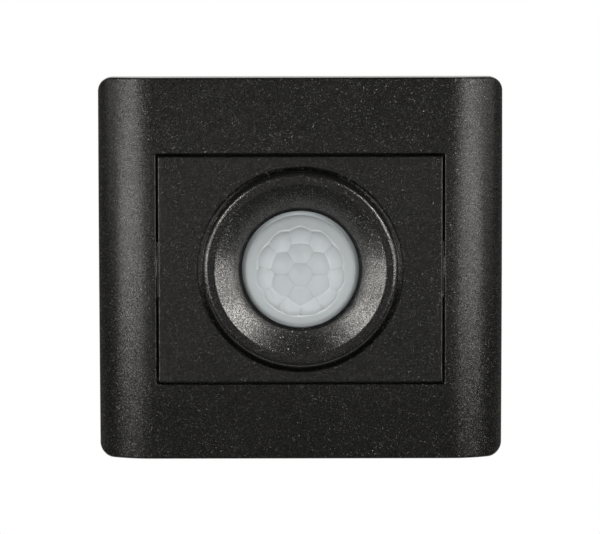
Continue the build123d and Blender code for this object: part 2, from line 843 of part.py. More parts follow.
def dial(x):
    y = -dial_place
    body = disc(dial_radius, dial_bottom, dial_top, x, y)
    body = fillet(body.edges().sort_by(Axis.Z)[-1], dial_edge_round)
    stem_low = sensor_board_top + trimmer_floor + slide_clearance
    body += disc(trimmer_bore_radius - slide_clearance, stem_low, dial_bottom, x, y)
    slot_low, slot_high = dial_top - dial_slot_depth, dial_top + overrun
    reach = 2 * dial_radius * dial_slot_reach_share
    body -= centred_block(dial_slot_width, reach, slot_low, slot_high, x, y)
    body -= centred_block(reach / 2, dial_slot_width, slot_low, slot_high, x, y)
    pointer = Pos(x, y + dial_radius, 0) * Rotation(0, 0, pointer_turn) * centred_block(
        dial_slot_width, dial_slot_width, slot_low, slot_high
    )
    return body - pointer


# Control chip: a sixteen-leg package under the sensor board
chip_length = 19.2
chip_width = 6.4
chip_thickness = 3.2
chip_standoff = 0.4
chip_y = -15.0
chip_leg_pitch = 2.54
chip_leg_count = 8
chip_leg_width = 0.5
chip_leg_thickness = 0.3
chip_row_spacing = 7.6
chip_notch_radius = 1.0


def control_chip():
    high = sensor_board_bottom - chip_standoff
    body = centred_block(chip_length, chip_width, high - chip_thickness, high, 0, chip_y)
    notch_low, notch_high = high - chip_thickness - overrun, high - chip_thickness / 2
    return body - disc(chip_notch_radius, notch_low, notch_high, -chip_length / 2, chip_y)


def chip_legs():
    middle = sensor_board_bottom - chip_standoff - chip_thickness / 2
    inner, outer = chip_row_spacing / 2, chip_row_spacing / 2 + chip_leg_thickness
    half, rise = chip_leg_width / 2, chip_leg_thickness / 2
    pair = []
    for side in (-1, 1):
        drop = block(-half, half, chip_y + side * inner, chip_y + side * outer, middle, sensor_board_bottom)
        start, end = chip_y + side * chip_width / 2, chip_y + side * outer
        pair.append(drop + block(-half, half, start, end, middle - rise, middle + rise))
    first = -(chip_leg_count - 1) / 2
    return [Pos((first + i) * chip_leg_pitch, 0, 0) * leg for i in range(chip_leg_count) for leg in pair]


# Link between the boards: a pin header on the power board that plugs into a socket on the sensor board
link_side_inset = 5.4
link_x = housing_width / 2 - link_side_inset
link_y = 8.0
link_pitch = 2.54
link_count = 4
link_width = 2.5
link_pin_width = 0.64
link_socket_depth = 8.5
link_strip_height = 2.5
link_pin_cover = 2.8
link_tail = 0.8


def link_pin_places():
    return [link_y + (i - (link_count - 1) / 2) * link_pitch for i in range(link_count)]


def link_socket():
    low = sensor_board_bottom - link_socket_depth
    body = centred_block(link_width, link_count * link_pitch, low, sensor_board_bottom, link_x, link_y)
    side = link_pin_width + 2 * slide_clearance
    for y in link_pin_places():
        body -= centred_block(side, side, low - overrun, sensor_board_bottom - overrun, link_x, y)
    return body


def link_header():
    high = main_board_top + link_strip_height
    body = centred_block(link_width, link_count * link_pitch, main_board_top, high, link_x, link_y)
    side = link_pin_width + thread_clearance
    for y in link_pin_places():
        body -= centred_block(side, side, main_board_top - overrun, high + overrun, link_x, y)
    return body


def link_pins():
    high = sensor_board_bottom - link_pin_cover
    low = main_board_bottom - link_tail
    return [centred_block(link_pin_width, link_pin_width, low, high, link_x, y) for y in link_pin_places()]


# Relay: a sealed cube that holds a coil, a yoke, a hinged armature and one pair of contacts
relay_side_inset = 4.1
relay_x = relay_side_inset - housing_width / 2
relay_y = 2.4
relay_length = 19.0
relay_width = 15.5
relay_height = 15.3
relay_wall = 0.7
relay_base_thickness = 1.5
relay_base_lift = 0.3
relay_fit = 0.1
yoke_u = 1.4
yoke_thickness = 1.0
yoke_width = 8.0
yoke_foot = 9.8
yoke_height = 12.2
coil_u = 7.2
core_radius = 1.5
pole_radius = 3.0
pole_thickness = 0.7
pole_gap = 0.05
bobbin_radius = 4.5
bobbin_flange = 0.7
bobbin_tube_wall = 0.5
winding_radius = 4.1
armature_length = 9.8
armature_thickness = 0.9
armature_open_angle = 4.0
leaf_thickness = 0.25
leaf_width = 4.0
leaf_start = 6.0
leaf_end = 16.4
contact_u = 15.2
contact_radius = 1.2
contact_thickness = 0.8
fixed_blade_u = 16.4
fixed_blade_thickness = 0.5
fixed_blade_width = 3.6
relay_pin_radius = 0.45
relay_pin_tail = 0.8
coil_pin_inset = 3.9
blade_foot = 0.5
relay_v = relay_width / 2
relay_floor = relay_base_lift + relay_base_thickness
bobbin_bottom = relay_floor + yoke_thickness + relay_fit
bobbin_top = yoke_height - pole_gap - pole_thickness - relay_fit


def in_relay(shape):
    """Moves a shape from the relay's own corner to its place on the power board."""
    return Pos(relay_x, relay_y, main_board_top) * shape


def relay_pin_places():
    """The two coil pins and the two contact pins, on the power board."""
    coil_pins = [(coil_u, coil_pin_inset), (coil_u, relay_width - coil_pin_inset)]
    places = coil_pins + [(2 * yoke_u, relay_v), (contact_u, relay_v)]
    return [(relay_x + u, relay_y + v) for u, v in places]


def relay_case():
    outer = block(0, relay_length, 0, relay_width, 0, relay_height)
    outer = fillet(outer.edges().filter_by(Axis.Z) + outer.faces().sort_by(Axis.Z)[-1].edges(), relay_wall)
    far_u, far_v = relay_length - relay_wall, relay_width - relay_wall
    return in_relay(outer - block(relay_wall, far_u, relay_wall, far_v, -overrun, relay_height - relay_wall))


def relay_base():
    edge = relay_wall + relay_fit
    far_u, far_v = relay_length - edge, relay_width - edge
    body = block(edge, far_u, edge, far_v, relay_base_lift, relay_floor)
    blade_gap = thread_clearance
    body -= block(
        fixed_blade_u - blade_gap,
        fixed_blade_u + fixed_blade_thickness + blade_gap,
        relay_v - fixed_blade_width / 2 - blade_gap,
        relay_v + fixed_blade_width / 2 + blade_gap,
        relay_base_lift + blade_foot,
        relay_floor + overrun,
    )
    return in_relay(body)


def relay_pins():
    low = main_board_bottom - relay_pin_tail
    high = main_board_top + relay_base_lift
    return [disc(relay_pin_radius, low, high, x, y) for x, y in relay_pin_places()]


def relay_yoke():
    v_low, v_high = relay_v - yoke_width / 2, relay_v + yoke_width / 2
    foot = block(yoke_u, yoke_u + yoke_foot, v_low, v_high, relay_floor, relay_floor + yoke_thickness)
    leg = block(yoke_u, yoke_u + yoke_thickness, v_low, v_high, relay_floor, yoke_height)
    return in_relay(foot + leg)


def relay_core():
    low = relay_floor + yoke_thickness
    pole_top = yoke_height - pole_gap
    body = disc(core_radius, low, pole_top, coil_u, relay_v)
    return in_relay(body + disc(pole_radius, pole_top - pole_thickness, pole_top, coil_u, relay_v))


def relay_bobbin():
    tube_radius = core_radius + relay_fit + bobbin_tube_wall
    body = disc(tube_radius, bobbin_bottom, bobbin_top, coil_u, relay_v)
    body += disc(bobbin_radius, bobbin_bottom, bobbin_bottom + bobbin_flange, coil_u, relay_v)
    body += disc(bobbin_radius, bobbin_top - bobbin_flange, bobbin_top, coil_u, relay_v)
    bore = disc(core_radius + relay_fit, bobbin_bottom - overrun, bobbin_top + overrun, coil_u, relay_v)
    return in_relay(body - bore)


def relay_winding():
    low, high = bobbin_bottom + bobbin_flange, bobbin_top - bobbin_flange
    inner = core_radius + relay_fit + bobbin_tube_wall + thread_clearance
    body = disc(winding_radius, low, high, coil_u, relay_v)
    return in_relay(body - disc(inner, low - overrun, high + overrun, coil_u, relay_v))


def opened(shape):
    """Turns the armature and what it carries up about the yoke's outer edge, to where the spring holds it."""
    hinge = Pos(yoke_u, 0, yoke_height)
    return hinge * Rotation(0, -armature_open_angle, 0) * hinge.inverse() * shape


def relay_armature():
    v_low, v_high = relay_v - yoke_width / 2, relay_v + yoke_width / 2
    u_high = yoke_u + armature_length
    plate = block(yoke_u, u_high, v_low, v_high, yoke_height, yoke_height + armature_thickness)
    return in_relay(opened(plate))


def relay_contact_leaf():
    low = yoke_height + armature_thickness
    v_low, v_high = relay_v - leaf_width / 2, relay_v + leaf_width / 2
    leaf = block(leaf_start, leaf_end, v_low, v_high, low, low + leaf_thickness)
    button = disc(contact_radius, low - contact_thickness, low + leaf_thickness / 2, contact_u, relay_v)
    return in_relay(opened(leaf + button))


def relay_fixed_contact():
    top = yoke_height + armature_thickness - contact_thickness - pole_gap
    shelf_high = top - contact_thickness
    shelf_low = shelf_high - fixed_blade_thickness
    v_low, v_high = relay_v - fixed_blade_width / 2, relay_v + fixed_blade_width / 2
    u_high = fixed_blade_u + fixed_blade_thickness
    blade_low = relay_base_lift + blade_foot
    blade = block(fixed_blade_u, u_high, v_low, v_high, blade_low, shelf_high)
    shelf = block(contact_u - contact_radius, u_high, v_low, v_high, shelf_low, shelf_high)
    button = disc(contact_radius, shelf_high - thread_clearance, top, contact_u, relay_v)
    return in_relay(blade + shelf + button)


# Power parts that stand on the power board
film_capacitor_size = (17.0, 6.0, 11.0)
film_capacitor_place = (7.9, 17.0)
can_capacitor_radius = 4.0
can_capacitor_height = 11.5
can_capacitor_place = (4.4, 7.6)
can_capacitor_groove = 0.35
can_capacitor_groove_height = 1.9
varistor_radius = 3.5
varistor_thickness = 3.2
varistor_place = (12.6, 7.4)
varistor_lift = 0.6
varistor_round = 0.8
fuse_radius = 4.0
fuse_height = 7.4
fuse_place = (2.6, -3.4)
fuse_round = 0.6
rectifier_size = (8.6, 6.4, 3.4)
rectifier_place = (-6.2, -3.6)
resistor_radius = 1.7
resistor_length = 9.0
resistor_place = (13.4, -1.2)
resistor_lead_radius = 0.35
resistor_lead_reach = 1.4
resistor_round = 0.55
soft_edge = 0.5


def standing_box(size, place):
    """A moulded component with softened edges, standing on the power board."""
    width, height, rise = size
    body = centred_block(width, height, main_board_top, main_board_top + rise, *place)
    return fillet(body.faces().sort_by(Axis.Z)[-1].edges() + body.edges().filter_by(Axis.Z), soft_edge)


def smoothing_capacitor():
    high = main_board_top + can_capacitor_height
    body = disc(can_capacitor_radius, main_board_top, high, *can_capacitor_place)
    body = fillet(body.edges().sort_by(Axis.Z)[-1], soft_edge)
    x, y = can_capacitor_place
    groove = Torus(can_capacitor_radius, can_capacitor_groove)
    return body - Pos(x, y, main_board_top + can_capacitor_groove_height) * groove


def varistor():
    x, y = varistor_place
    middle = main_board_top + varistor_lift + varistor_radius
    body = Pos(x, y, middle) * along_y * Cylinder(varistor_radius, varistor_thickness)
    return fillet(body.edges().filter_by(GeomType.CIRCLE), varistor_round)


def fuse():
    body = disc(fuse_radius, main_board_top, main_board_top + fuse_height, *fuse_place)
    return fillet(body.edges().sort_by(Axis.Z)[-1], fuse_round)


def power_resistor():
    x, y = resistor_place
    middle = main_board_top + resistor_radius
    body = Pos(x, y, middle) * along_x * Cylinder(resistor_radius, resistor_length)
    body = fillet(body.edges().filter_by(GeomType.CIRCLE), resistor_round)
    lead_reach = resistor_length / 2 + resistor_lead_reach
    body += Pos(x, y, middle) * along_x * Cylinder(resistor_lead_radius, 2 * lead_reach)
    for side in (-1, 1):
        body += disc(resistor_lead_radius, main_board_top, middle, x + side * lead_reach, y)
    return body


# Terminals: a block with a well for each pole, a captive screw, a rising clamp and a bar to the power board
clamp_screw_rise = 5.5
clamp_screw_y = clamp_screw_rise - housing_height / 2
clamp_screw_radius = 1.75
clamp_screw_pitch = 0.6
clamp_screw_head_radius = 2.8
clamp_screw_head_height = 1.8
clamp_head_gap = 0.2
screw_access_radius = 2.4
wire_hole_radius = 1.6
wire_space = 3.4
well_width = 7.4
well_height = 7.7
bar_thickness = 1.0
bar_width = 4.2
bar_leg_width = 2.4
bar_leg_rise = 3.0
bar_leg_y = terminal_block_top + bar_leg_rise
bar_leg_tail = 0.6
bar_height = 11.7
bar_front = housing_back + bar_height
clamp_width = 6.8
clamp_length = 6.2
clamp_wall = 0.9
clamp_thread_wall = 2.0
bar_bend_share = 0.8
clamp_turns = 4
clamp_travel = clamp_turns * clamp_screw_pitch
divider_groove_width = 2.0
divider_groove_depth = 4.0
bar_back = bar_front - bar_thickness
clamp_front = bar_front + wire_space + clamp_wall
clamp_screw_tip = bar_back - thread_clearance
clamp_head_outer = housing_back + housing_wall + clamp_head_gap
clamp_head_seat = clamp_head_outer + clamp_screw_head_height


def terminal_places():
    return [(i - (terminal_count - 1) / 2) * terminal_pitch for i in range(terminal_count)]


def terminal_block():
    low_y = -housing_height / 2
    half = terminal_block_width / 2
    body = block(-half, half, low_y, terminal_block_top, housing_back, terminal_block_front)
    floor = housing_back + housing_wall
    wire_z = bar_front + wire_space / 2
    for x in terminal_places():
        well_high = terminal_block_front + overrun
        body -= centred_block(well_width, well_height, floor, well_high, x, clamp_screw_y)
        body -= disc(screw_access_radius, housing_back - overrun, floor + overrun, x, clamp_screw_y)
        wire_hole = along_y * Cylinder(wire_hole_radius, 2 * (housing_wall + overrun))
        body -= Pos(x, low_y, wire_z) * wire_hole
        slot_half = bar_width / 2 + place_clearance
        body -= block(
            x - slot_half,
            x + slot_half,
            clamp_screw_y,
            terminal_block_top + overrun,
            bar_back - place_clearance,
            terminal_block_front + overrun,
        )
    for i in range(terminal_count - 1):
        x = (i - (terminal_count - 2) / 2) * terminal_pitch
        body -= centred_block(
            divider_groove_width,
            housing_height,
            housing_back - overrun,
            housing_back + divider_groove_depth,
            x,
            0,
        )
    return body


def clamp_screw(x):
    length = clamp_screw_tip - clamp_head_seat
    head = (clamp_screw_head_radius, clamp_screw_head_height)
    return screw(*head, clamp_screw_radius, clamp_head_seat, length, x, clamp_screw_y, to_front=False)


def wire_clamp(x):
    """A square loop that rides up its screw and lifts the wire against the bar."""
    thread_face = clamp_head_seat + clamp_travel + slide_clearance
    outer = centred_block(clamp_width, clamp_length, thread_face, clamp_front, x, clamp_screw_y)
    window_low = thread_face + clamp_thread_wall
    window_high = clamp_front - clamp_wall
    window_width = clamp_width - 2 * clamp_wall
    window_length = clamp_length + 2 * overrun
    outer -= centred_block(window_width, window_length, window_low, window_high, x, clamp_screw_y)
    bore_radius = clamp_screw_radius + thread_clearance
    return outer - disc(bore_radius, thread_face - overrun, window_low + overrun, x, clamp_screw_y)


def terminal_bar(x):
    tip = clamp_screw_y - clamp_length / 2
    leg = bar_leg_y + bar_thickness / 2
    low = main_board_bottom - bar_leg_tail
    half = bar_width / 2
    bar = block(x - half, x + half, tip, leg, bar_back, bar_front)
    leg_half = bar_leg_width / 2
    bar += block(x - leg_half, x + leg_half, leg - bar_thickness, leg, low, bar_front)
    bend = [
        edge
        for edge in bar.edges().filter_by(Axis.X)
        if edge.center().Z > bar_front - thread_clearance and edge.center().Y > leg - thread_clearance
    ]
    return fillet(bend, bar_thickness * bar_bend_share)


write("face_plate", face_plate())
write("center_panel", center_panel())
write("fresnel_lens", fresnel_lens())
write("lens_retainer", lens_retainer())
write("support_frame", support_frame())
write("back_housing", back_housing())
write("module_cover", module_cover())
write("housing_screws", *housing_screws())
write("cover_screws", *cover_screws())
write("board_screws", *board_screws())
write("sensor_board", sensor_board())
write("main_board", main_board())
write("pir_base", pir_base())
write("pir_can", pir_can())
write("pir_window", pir_window())
write("light_sensor", light_sensor())
write("status_led", status_led())
write("led_leads", *led_leads())
write("time_trimmer", trimmer(-dial_place))
write("lux_trimmer", trimmer(dial_place))
write("time_dial", dial(-dial_place))
write("lux_dial", dial(dial_place))
write("control_chip", control_chip())
write("chip_legs", *chip_legs())
write("link_socket", link_socket())
write("link_header", link_header())
write("link_pins", *link_pins())
write("relay_case", relay_case())
write("relay_base", relay_base())
write("relay_pins", *relay_pins())
write("relay_yoke", relay_yoke())
write("relay_core", relay_core())
write("relay_bobbin", relay_bobbin())
write("relay_winding", relay_winding())
write("relay_armature", relay_armature())
write("relay_contact_leaf", relay_contact_leaf())
write("relay_fixed_contact", relay_fixed_contact())
write("dropper_capacitor", standing_box(film_capacitor_size, film_capacitor_place))
write("smoothing_capacitor", smoothing_capacitor())
write("varistor", varistor())
write("fuse", fuse())
write("bridge_rectifier", standing_box(rectifier_size, rectifier_place))
write("power_resistor", power_resistor())
write("terminal_block", terminal_block())
for pole, x in zip(("live", "neutral", "load"), terminal_places()):
    write(f"{pole}_screw", clamp_screw(x))
    write(f"{pole}_clamp", wire_clamp(x))
    write(f"{pole}_bar", terminal_bar(x))
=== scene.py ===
import math

import bpy
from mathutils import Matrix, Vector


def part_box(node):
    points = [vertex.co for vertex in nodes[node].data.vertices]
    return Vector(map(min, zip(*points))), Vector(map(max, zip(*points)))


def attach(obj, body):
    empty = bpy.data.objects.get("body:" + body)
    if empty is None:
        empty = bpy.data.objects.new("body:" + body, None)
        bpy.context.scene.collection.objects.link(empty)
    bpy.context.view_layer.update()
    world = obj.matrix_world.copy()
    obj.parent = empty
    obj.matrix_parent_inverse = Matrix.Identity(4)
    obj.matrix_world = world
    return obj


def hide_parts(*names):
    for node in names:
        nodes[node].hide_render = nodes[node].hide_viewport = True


# Motion sensor light switch
# It is finished in the order in which it is put together, from the part in the wall box to the face plate.
# The front faces -Y, +Z is up the wall and the wall is at y = 0. All lengths are in metres.
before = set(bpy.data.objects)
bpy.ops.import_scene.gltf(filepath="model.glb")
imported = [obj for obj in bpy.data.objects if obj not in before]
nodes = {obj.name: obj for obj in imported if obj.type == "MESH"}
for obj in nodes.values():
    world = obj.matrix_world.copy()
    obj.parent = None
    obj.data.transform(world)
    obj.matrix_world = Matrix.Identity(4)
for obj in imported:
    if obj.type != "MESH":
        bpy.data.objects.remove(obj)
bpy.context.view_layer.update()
MM = 0.001


# Support frame
# The dark grey plate that is screwed to the wall box and carries everything else. It is moulded in
# glass-filled nylon, with an even spark-eroded skin that the fibres mottle slightly.
class Value:
    """One value in a finish. Arithmetic on it adds the Math nodes that work it out."""

    def __init__(self, finish, socket):
        self.finish = finish
        self.socket = socket

    def output(self, name):
        """Another output of the node that this value comes from."""
        return Value(self.finish, self.socket.node.outputs[name])

    def maths(self, operation, first, second=0.0):
        """A Math node on one or two values or numbers."""
        return self.finish.node("ShaderNodeMath", {"operation": operation}, {0: first, 1: second})

    def __add__(self, other):
        return self.maths("ADD", self, other)

    def __sub__(self, other):
        return self.maths("SUBTRACT", self, other)

    def __rsub__(self, other):
        return self.maths("SUBTRACT", other, self)

    def __mul__(self, other):
        return self.maths("MULTIPLY", self, other)

    __radd__ = __add__
    __rmul__ = __mul__


class Finish:
    """The nodes of a material, or of the room's light: values first, and the surface that takes them last."""

    def __init__(self, owner):
        owner.use_nodes = True
        self.owner = owner
        self.tree = owner.node_tree
        self.tree.nodes.clear()
        self.place = self.node("ShaderNodeTexCoord").output("Object")

    def node(self, kind, settings=None, sockets=None, output=0):
        """Adds a node: its settings first, with stops for a ramp, then the values or links of its sockets."""
        made = self.tree.nodes.new(kind)
        for name, setting in (settings or {}).items():
            if name != "stops":
                setattr(made, name, setting)
                continue
            ramp = made.color_ramp
            while len(ramp.elements) < len(setting):
                ramp.elements.new(0.5)
            for element, (position, colour) in zip(ramp.elements, setting):
                element.position = position
                element.color = (*colour, 1)
        for name, value in (sockets or {}).items():
            if isinstance(value, Value):
                self.tree.links.new(value.socket, made.inputs[name])
            elif made.inputs[name].type == "RGBA":
                made.inputs[name].default_value = (*value, 1)
            else:
                made.inputs[name].default_value = value
        return Value(self, made.outputs[output]) if made.outputs else None

    def vector(self, operation, sockets, output="Vector"):
        """A Vector Math node."""
        return self.node("ShaderNodeVectorMath", {"operation": operation}, sockets, output)

    def noise(self, size, detail=2, roughness=0.5):
        """Soft noise from 0 to 1 whose features are about size across."""
        sockets = {"Vector": self.place, "Scale": 1 / size, "Detail": detail, "Roughness": roughness}
        return self.node("ShaderNodeTexNoise", {}, sockets)

    def ramp(self, value, *stops):
        """A colour for each value, between the stops."""
        return self.node("ShaderNodeValToRGB", {"stops": stops}, {"Fac": value})

    def step(self, value, low, high):
        """0 at low, 1 at high and a smooth rise between."""
        settings = {"interpolation_type": "SMOOTHSTEP"}
        return self.node("ShaderNodeMapRange", settings, {"Value": value, "From Min": low, "From Max": high})

    def blend(self, share, first, second):
        """A colour that goes from first to second as share goes from 0 to 1."""
        return self.node("ShaderNodeMix", {"data_type": "RGBA"}, {0: share, 6: first, 7: second}, 2)

    def relief(self, height, depth, under=None):
        """The normal of a surface whose height, 0 to 1, rises by depth."""
        sockets = {"Height": height, "Distance": depth, "Strength": 1.0}
        if under is not None:
            sockets["Normal"] = under
        return self.node("ShaderNodeBump", {}, sockets)

    def edges(self, radius):
        """1 on edges and corners, which a hand or a tool rubs, and 0 on open faces."""
        rounded = self.node("ShaderNodeBevel", {"samples": 6}, {"Radius": radius})
        true = self.node("ShaderNodeNewGeometry").output("Normal")
        likeness = self.vector("DOT_PRODUCT", {0: rounded, 1: true}, "Value")
        return self.step(likeness, 0.995, 0.9)

    def end(self, kind, surface):
        """Joins the surface to the output and hands back what the finish was made for."""
        self.node(kind, {}, {"Surface": surface})
        return self.owner

    def material(self, sockets):
        """Ends the finish with one plain surface."""
        return self.end("ShaderNodeOutputMaterial", self.node("ShaderNodeBsdfPrincipled", {}, sockets))


def shade(colour, share):
    """The same colour, lighter or darker."""
    return tuple(min(channel * share, 1) for channel in colour)


flow_size, rub_width = 9 * MM, 0.25 * MM


def moulded(name, colour, roughness=0.45, grain=0.35 * MM, relief=0.008 * MM, mottle=0.08, clear=0.0):
    """Moulded plastic: an eroded skin, faint clouds where the melt flowed, and edges rubbed paler.

    grain is how wide the pits of the skin are and relief how deep. mottle is how far the clouds stray from
    the colour, and clear is how much light passes through.
    """
    finish = Finish(bpy.data.materials.new(name))
    skin = finish.noise(grain, 3, 0.6)
    clouds = finish.noise(flow_size, 3, 0.55)
    rubbed = finish.edges(rub_width)
    flow = finish.ramp(clouds, (0.3, shade(colour, 1 - mottle)), (0.7, shade(colour, 1 + mottle)))
    specks = finish.step(finish.noise(grain * 0.7, 1), 0.55, 0.75) * 0.25
    toned = finish.blend(specks, flow, shade(colour, 0.8))
    return finish.material({
        "Base Color": finish.blend(rubbed * 0.35, toned, shade(colour, 1.25)),
        "Roughness": (skin - 0.5) * 0.16 + (clouds - 0.5) * 0.12 + roughness - rubbed * 0.08,
        "Normal": finish.relief(skin, relief),
        "Transmission Weight": clear,
    })


def give(material, *names):
    """Puts one finish on every face of the named pieces."""
    for name in names:
        for slot in nodes[name].material_slots:
            slot.material = material


give(moulded("frame_nylon", (0.1, 0.102, 0.105), 0.46, 0.35 * MM, 0.025 * MM, 0.12), "support_frame")


# Back housing and module cover
# Two shells that close round the boards, moulded in dark flame-retardant polycarbonate with an eroded skin.
# The cover is screwed on from the front, and the housing is hung on the frame by four screws.
give(moulded("housing_polycarbonate", (0.055, 0.057, 0.06), 0.38, 0.45 * MM, 0.03 * MM, 0.1), "back_housing")
give(moulded("cover_polycarbonate", (0.035, 0.036, 0.038), 0.36, 0.45 * MM, 0.03 * MM, 0.1), "module_cover")


# Screws
# Steel screws with turned pan heads and a cross recess. Their zinc plate is bright, with fine turning lines,
# a faint blue cast, dull stains, and edges that the driver has worn.
mark_depth, plating_cloud = 0.004 * MM, 1.6 * MM
stain_size, stain_tint = 0.9 * MM, (0.55, 0.5, 0.42)
wear_width = 0.12 * MM


def plated(name, colour, roughness=0.3, grain=0.12 * MM):
    """Plated or bare metal: tool marks a grain apart, cloudy plating, dull stains and edges worn bright."""
    finish = Finish(bpy.data.materials.new(name))
    marks = finish.noise(grain, 4, 0.7)
    clouds = finish.noise(plating_cloud, 3, 0.6)
    stains = finish.step(finish.noise(stain_size, 4, 0.65), 0.56, 0.74)
    worn = finish.edges(wear_width)
    toned = finish.ramp(clouds, (0.35, shade(colour, 0.86)), (0.65, shade(colour, 1.06)))
    dull = tuple(channel * share for channel, share in zip(colour, stain_tint))
    return finish.material({
        "Base Color": finish.blend(worn * 0.5, finish.blend(stains * 0.4, toned, dull), shade(colour, 1.25)),
        "Metallic": 1 - stains * 0.15,
        "Roughness": (marks - 0.5) * 0.25 + stains * 0.2 + roughness - worn * 0.1,
        "Normal": finish.relief(marks, mark_depth),
    })


zinc = plated("zinc_plate", (0.62, 0.63, 0.64))
give(zinc, "housing_screws", "cover_screws", "board_screws", "live_screw", "neutral_screw", "load_screw")


# Terminal block
# Green polyamide with three wells, soldered to the main board. In each well a plated steel clamp rises as its
# screw turns and grips the wire under a bar of tinned brass.
give(moulded("terminal_polyamide", (0.045, 0.16, 0.075), 0.4, 0.3 * MM, 0.006 * MM), "terminal_block")
give(plated("cage_plate", (0.6, 0.585, 0.54), 0.36, 0.2 * MM), "live_clamp", "neutral_clamp", "load_clamp")
give(plated("tinned_brass", (0.72, 0.68, 0.58), 0.34), "live_bar", "neutral_bar", "load_bar")


# Boards
# Two boards of glass-epoxy laminate, screwed into the housing and joined by a pin header. Green solder mask
# covers them, and the copper tracks show through it as paler green.
track_pitch, track_height = 3.4 * MM, 0.03 * MM
weave_pitch, mask_cloud = 2.2 * MM, 5 * MM


def laminate(name, mask, track):
    """Solder mask over tracks: they stand a little proud and show paler, and the weave shows faintly."""
    finish = Finish(bpy.data.materials.new(name))
    cell_sockets = {"Vector": finish.place, "Scale": 1 / track_pitch, "Randomness": 0.35}
    cells = finish.node("ShaderNodeTexVoronoi", {"feature": "DISTANCE_TO_EDGE"}, cell_sockets)
    tracks = finish.step(cells, 0.08, 0.11)
    weave_settings = {"wave_type": "BANDS", "bands_direction": "DIAGONAL"}
    weave_sockets = {"Vector": finish.place, "Scale": 1 / weave_pitch, "Distortion": 1.5, "Detail": 1.0}
    weave = finish.node("ShaderNodeTexWave", weave_settings, weave_sockets)
    clouds = finish.noise(mask_cloud, 3)
    base = finish.ramp(clouds * 0.7 + weave * 0.3, (0.3, shade(mask, 0.85)), (0.7, shade(mask, 1.15)))
    return finish.material({
        "Base Color": finish.blend(tracks * 0.8, base, track),
        "Roughness": 0.28 + clouds * 0.12,
        "Normal": finish.relief(tracks, track_height),
    })


give(laminate("solder_mask", (0.012, 0.11, 0.045), (0.035, 0.2, 0.075)), "sensor_board", "main_board")


# Relay
# A sealed blue case over the magnet: enamelled copper on a nylon bobbin, a soft iron yoke, core and armature,
# and contacts of copper alloy, all held by a moulded base with tinned pins.
wire_size, drift_size, enamel_cloud = 0.18 * MM, 3 * MM, 1.2 * MM
give(moulded("relay_case_plastic", (0.03, 0.13, 0.4), 0.3, 0.5 * MM, 0.004 * MM), "relay_case", "relay_base")
give(moulded("bobbin_nylon", (0.72, 0.69, 0.58)), "relay_bobbin")
give(plated("soft_iron", (0.5, 0.5, 0.5), 0.38, 0.2 * MM), "relay_yoke", "relay_core", "relay_armature")
tinned = plated("tinned_wire", (0.7, 0.7, 0.68), 0.28, 0.1 * MM)
give(tinned, "relay_pins")
give(plated("contact_alloy", (0.8, 0.56, 0.34)), "relay_contact_leaf", "relay_fixed_contact")


def wound(name, colour, wire):
    """Enamelled wire in close turns: ridges a wire apart, shinier along each crown, with a painted highlight
    in the colour there and painted shade between.
    """
    finish = Finish(bpy.data.materials.new(name))
    up = finish.node("ShaderNodeSeparateXYZ", {}, {0: finish.place}, "Z")
    drift = finish.noise(drift_size) * wire * 0.8
    turns = up.maths("PINGPONG", up + drift, wire / 2) * (2 / wire)
    clouds = finish.noise(enamel_cloud)
    # Painted highlight along the crown of each turn and painted shade between the turns.
    painted_crown_sheen_and_groove_shade = (0.15, shade(colour, 0.35)), (0.6, colour), (0.95, shade(colour, 1.3))
    return finish.material({
        "Base Color": finish.ramp(turns * 0.8 + clouds * 0.2, *painted_crown_sheen_and_groove_shade),
        "Metallic": 0.85,
        "Roughness": 0.36 - turns * 0.12,
        "Coat Weight": 0.5,
        "Coat Roughness": 0.15,
        "Normal": finish.relief(turns, wire * 0.4),
    })


give(wound("enamelled_copper", (0.72, 0.27, 0.09), wire_size), "relay_winding")


# Parts on the main board
# A boxed film capacitor drops the voltage and a sleeved electrolytic smooths it. A lacquered disc, a fuse, a
# bridge rectifier and a cement-coated resistor stand beside them, all soldered to the board.
give(moulded("film_box_plastic", (0.62, 0.44, 0.06), 0.32, 0.5 * MM, 0.004 * MM), "dropper_capacitor")
give(moulded("shrink_sleeve", (0.02, 0.025, 0.04), 0.25, 1.2 * MM, 0.012 * MM), "smoothing_capacitor")
give(moulded("dipped_lacquer", (0.04, 0.16, 0.45), 0.2, 1.5 * MM, 0.02 * MM), "varistor")
give(moulded("fuse_plastic", (0.3, 0.035, 0.02), 0.3, 0.5 * MM, 0.004 * MM), "fuse")
give(moulded("rectifier_epoxy", (0.02, 0.02, 0.021), 0.5, 0.25 * MM, 0.01 * MM), "bridge_rectifier")
give(moulded("cement_coat", (0.33, 0.55, 0.52), 0.6, 0.3 * MM, 0.02 * MM), "power_resistor")


# Sensor board parts
# The pyroelectric sensor is a nickel-plated can with a dark filter in its window. A light sensor, a small
# light-emitting diode on tinned leads and two trimmers stand beside it. The control chip is soldered on
# behind, and so is the socket that the pins of the main board plug into.
give(plated("nickel_can", (0.66, 0.64, 0.6), 0.24, 0.3 * MM), "pir_can", "pir_base")
give(moulded("filter_glass", (0.018, 0.012, 0.02), 0.1, 2 * MM, 0.001 * MM), "pir_window")
give(moulded("sensor_ceramic", (0.62, 0.24, 0.1), 0.35, 0.4 * MM, 0.006 * MM), "light_sensor")
give(moulded("led_resin", (0.6, 0.03, 0.02), 0.12, 2 * MM, 0.001 * MM, 0.05, clear=0.6), "status_led")
give(moulded("trimmer_plastic", (0.05, 0.1, 0.32), 0.4), "time_trimmer", "lux_trimmer")
give(moulded("chip_epoxy", (0.018, 0.018, 0.019), 0.5, 0.2 * MM, 0.01 * MM), "control_chip")
give(moulded("header_plastic", (0.022, 0.022, 0.023), 0.42), "link_socket", "link_header")
give(tinned, "led_leads", "chip_legs", "link_pins")


